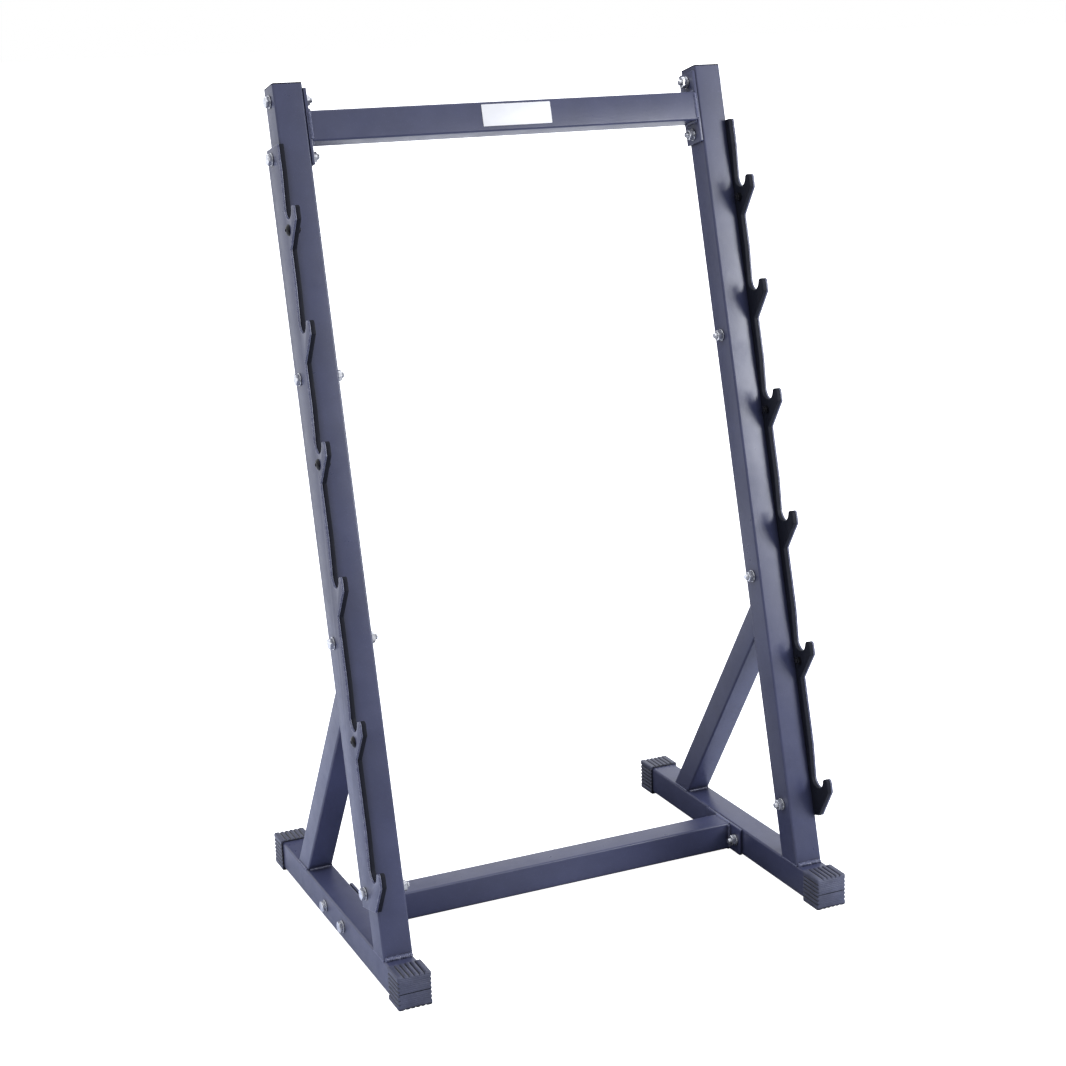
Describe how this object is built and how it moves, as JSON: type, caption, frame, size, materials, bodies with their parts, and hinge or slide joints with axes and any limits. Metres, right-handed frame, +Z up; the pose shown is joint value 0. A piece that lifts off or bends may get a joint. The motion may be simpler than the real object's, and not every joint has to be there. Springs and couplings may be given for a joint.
{
  "type": "barbell rack",
  "caption": "Free-standing rack of leaning square-tube uprights with rear braces, crossbars and notched, plastic-lined plates that hold fixed barbells.",
  "frame": {"origin": "on the floor, at the centre of the footprint", "axes": "+Z up, -Y towards the front where the barbells are lifted in, +X to the right seen from the front"},
  "size_m": [0.844, 0.658, 1.4195],
  "materials": {
    "frame_coat": "satin dark blue-grey powder coat",
    "plate_coat": "satin dark blue-grey powder coat",
    "liner_plastic": "matt black",
    "cap_plastic": "matt dark grey",
    "plug_plastic": "matt dark grey",
    "zinc": "bright zinc plate",
    "black_steel": "black oxide",
    "label_white": "blank white"
  },
  "bodies": {
    "root": {"left_base_tube": "frame_coat", "left_upright": "frame_coat", "left_rear_brace": "frame_coat", "left_top_flange": "frame_coat", "left_low_flange": "frame_coat", "left_hook_plate": "plate_coat", "left_hook_liner": "liner_plastic", "left_front_foot_cap": "cap_plastic", "left_rear_foot_cap": "cap_plastic", "left_upright_plug": "plug_plastic", "left_plate_low_bolt": "zinc", "left_plate_low_nut": "zinc", "left_plate_mid_bolt": "zinc", "left_plate_mid_nut": "zinc", "left_plate_high_bolt": "zinc", "left_plate_high_nut": "zinc", "left_top_lower_bolt": "zinc", "left_top_lower_nut": "zinc", "left_top_upper_bolt": "zinc", "left_top_upper_nut": "zinc", "left_base_front_bolt": "zinc", "left_base_front_nut": "zinc", "left_base_rear_bolt": "zinc", "left_base_rear_nut": "zinc", "left_low_liner_screw": "black_steel", "left_mid_liner_screw": "black_steel", "left_high_liner_screw": "black_steel", "right_base_tube": "frame_coat", "right_upright": "frame_coat", "right_rear_brace": "frame_coat", "right_top_flange": "frame_coat", "right_low_flange": "frame_coat", "right_hook_plate": "plate_coat", "right_hook_liner": "liner_plastic", "right_front_foot_cap": "cap_plastic", "right_rear_foot_cap": "cap_plastic", "right_upright_plug": "plug_plastic", "right_plate_low_bolt": "zinc", "right_plate_low_nut": "zinc", "right_plate_mid_bolt": "zinc", "right_plate_mid_nut": "zinc", "right_plate_high_bolt": "zinc", "right_plate_high_nut": "zinc", "right_top_lower_bolt": "zinc", "right_top_lower_nut": "zinc", "right_top_upper_bolt": "zinc", "right_top_upper_nut": "zinc", "right_base_front_bolt": "zinc", "right_base_front_nut": "zinc", "right_base_rear_bolt": "zinc", "right_base_rear_nut": "zinc", "right_low_liner_screw": "black_steel", "right_mid_liner_screw": "black_steel", "right_high_liner_screw": "black_steel", "top_crossbar": "frame_coat", "low_crossbar": "frame_coat", "blank_label": "label_white"}
  },
  "joints": []
}
